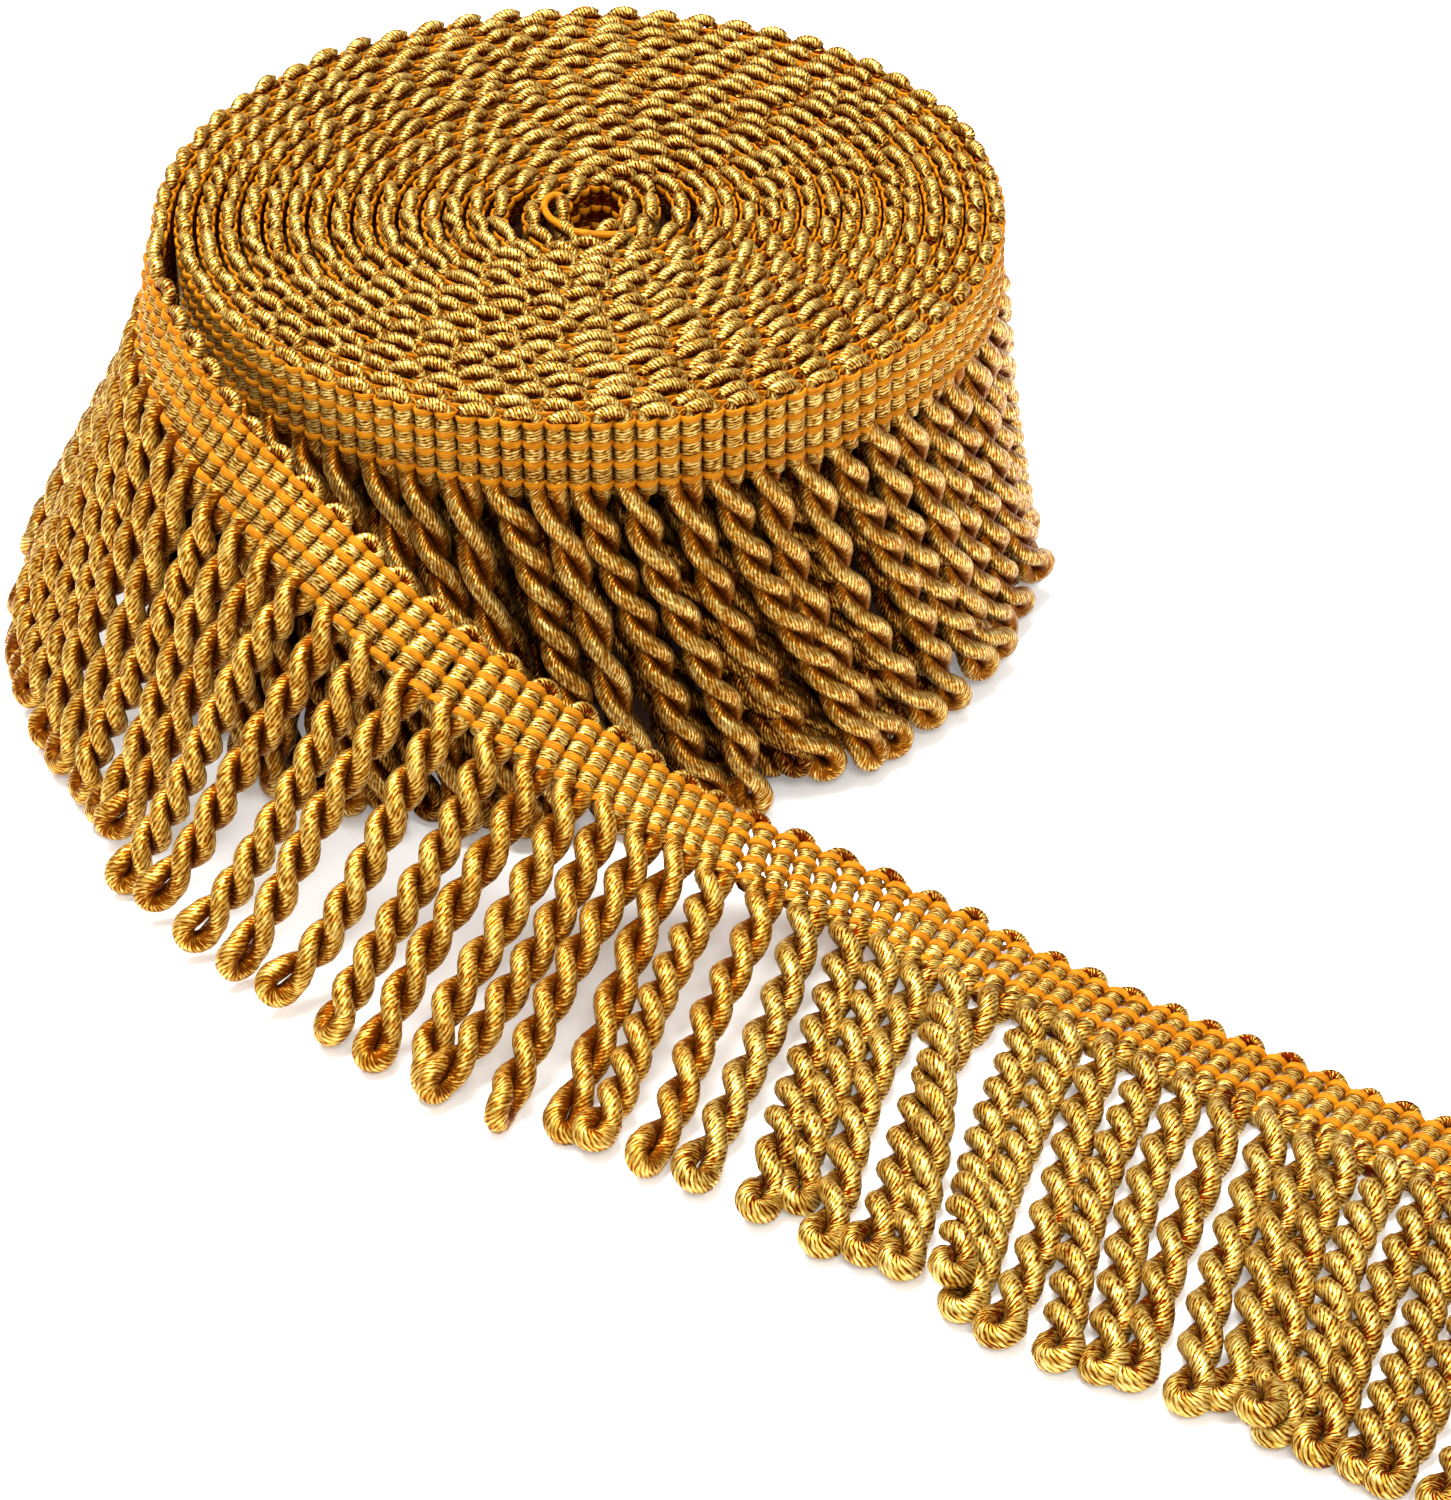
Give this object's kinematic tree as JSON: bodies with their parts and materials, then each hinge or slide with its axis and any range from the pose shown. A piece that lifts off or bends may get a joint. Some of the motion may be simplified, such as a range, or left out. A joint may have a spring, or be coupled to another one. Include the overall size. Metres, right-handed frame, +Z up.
{
  "type": "rolled bullion fringe trim",
  "caption": "Metallic bullion fringe trim wound into a flat roll that stands on its twisted strands, with a loose end unrolled in front and lying flat.",
  "frame": {"origin": "on the roll's winding axis, on the surface that the roll stands on", "axes": "+Z up along the winding axis, -Y towards the viewer and the loose end, +X towards the far end of the loose end"},
  "size_m": [0.1736, 0.2204, 0.0506],
  "materials": {
    "heading": "gold metallic cord crossed by orange satin warp yarns",
    "strands": "gold metallic wrapped cord twisted in pairs"
  },
  "bodies": {
    "root": {"roll": "heading", "roll_fringe": "strands", "loose_heading": "heading", "loose_fringe_hanging": "strands", "loose_fringe_lying": "strands"}
  },
  "joints": []
}
